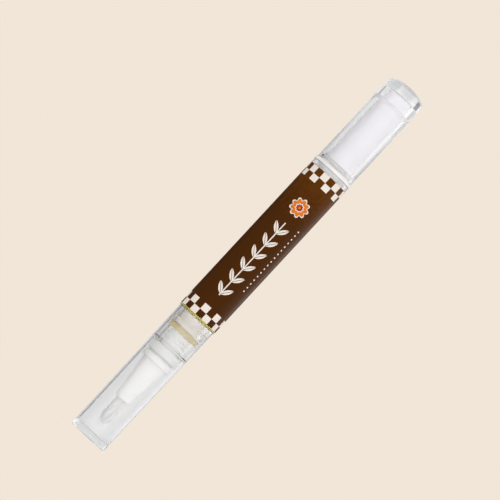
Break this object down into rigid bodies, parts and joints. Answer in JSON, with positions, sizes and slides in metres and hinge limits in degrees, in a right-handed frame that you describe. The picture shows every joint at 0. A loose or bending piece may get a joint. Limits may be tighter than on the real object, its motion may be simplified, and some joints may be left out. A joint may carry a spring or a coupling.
{
  "type": "nail oil pen",
  "caption": "Slim twist pen for nail oil: clear cap over a brush tip, oil barrel with a printed film, and a clear twist knob that drives a screw and piston.",
  "frame": {"origin": "centre of the cap's flat closed end, on which the pen stands", "axes": "+Z along the pen from the cap's closed end to the twist knob's domed end"},
  "size_m": [0.0126, 0.0126, 0.1286],
  "materials": {
    "clear_cap": "clear, polished",
    "clear_barrel": "clear, polished",
    "clear_knob": "clear, polished",
    "clear_collar": "clear, polished",
    "frosted_white": "frosted, slightly translucent",
    "natural_plug": "translucent, satin",
    "natural_tube": "translucent, satin",
    "bristle_grey": "fine translucent filaments",
    "label_print": "printed film, satin",
    "oil_yellow": "clear liquid",
    "seal_white": "soft, satin",
    "acetal_white": "moulded, satin",
    "sleeve_white": "frosted white"
  },
  "bodies": {
    "barrel_body": {"barrel": "clear_barrel", "label_film": "label_print", "neck_plug": "natural_plug", "brush_ferrule": "frosted_white", "brush_bristles": "bristle_grey", "feed_tube": "natural_tube", "oil_band": "oil_yellow", "oil_fill": "oil_yellow", "screw_nut": "acetal_white", "collar": "clear_collar"},
    "cap_body": {"cap": "clear_cap"},
    "knob_body": {"knob_shell": "clear_knob", "drive_sleeve": "sleeve_white", "ratchet_spring": "acetal_white"},
    "screw_body": {"lead_screw": "acetal_white"},
    "piston_body": {"piston": "seal_white", "piston_core": "acetal_white"}
  },
  "joints": [
    {"name": "cap_pull", "type": "slide", "parent": "barrel_body", "child": "cap_body", "axis": [0, 0, -1], "range_m": [0, 0.04]},
    {"name": "knob_turn", "type": "hinge", "parent": "barrel_body", "child": "knob_body", "pos_m": [0, 0, 0.1], "axis": [0, 0, -1], "range_deg": [0, 5040], "deforming": ["ratchet_spring"]},
    {"name": "screw_feed", "type": "slide", "parent": "knob_body", "child": "screw_body", "axis": [0, 0, -1], "range_m": [0, 0.02801]},
    {"name": "piston_feed", "type": "slide", "parent": "barrel_body", "child": "piston_body", "axis": [0, 0, -1], "range_m": [0, 0.02801], "deforming": ["oil_fill"]}
  ],
  "couplings": [
    {"joint": "screw_feed", "follows": "knob_turn", "m_per_rad": 0.00031831},
    {"joint": "piston_feed", "follows": "knob_turn", "m_per_rad": 0.00031831}
  ]
}
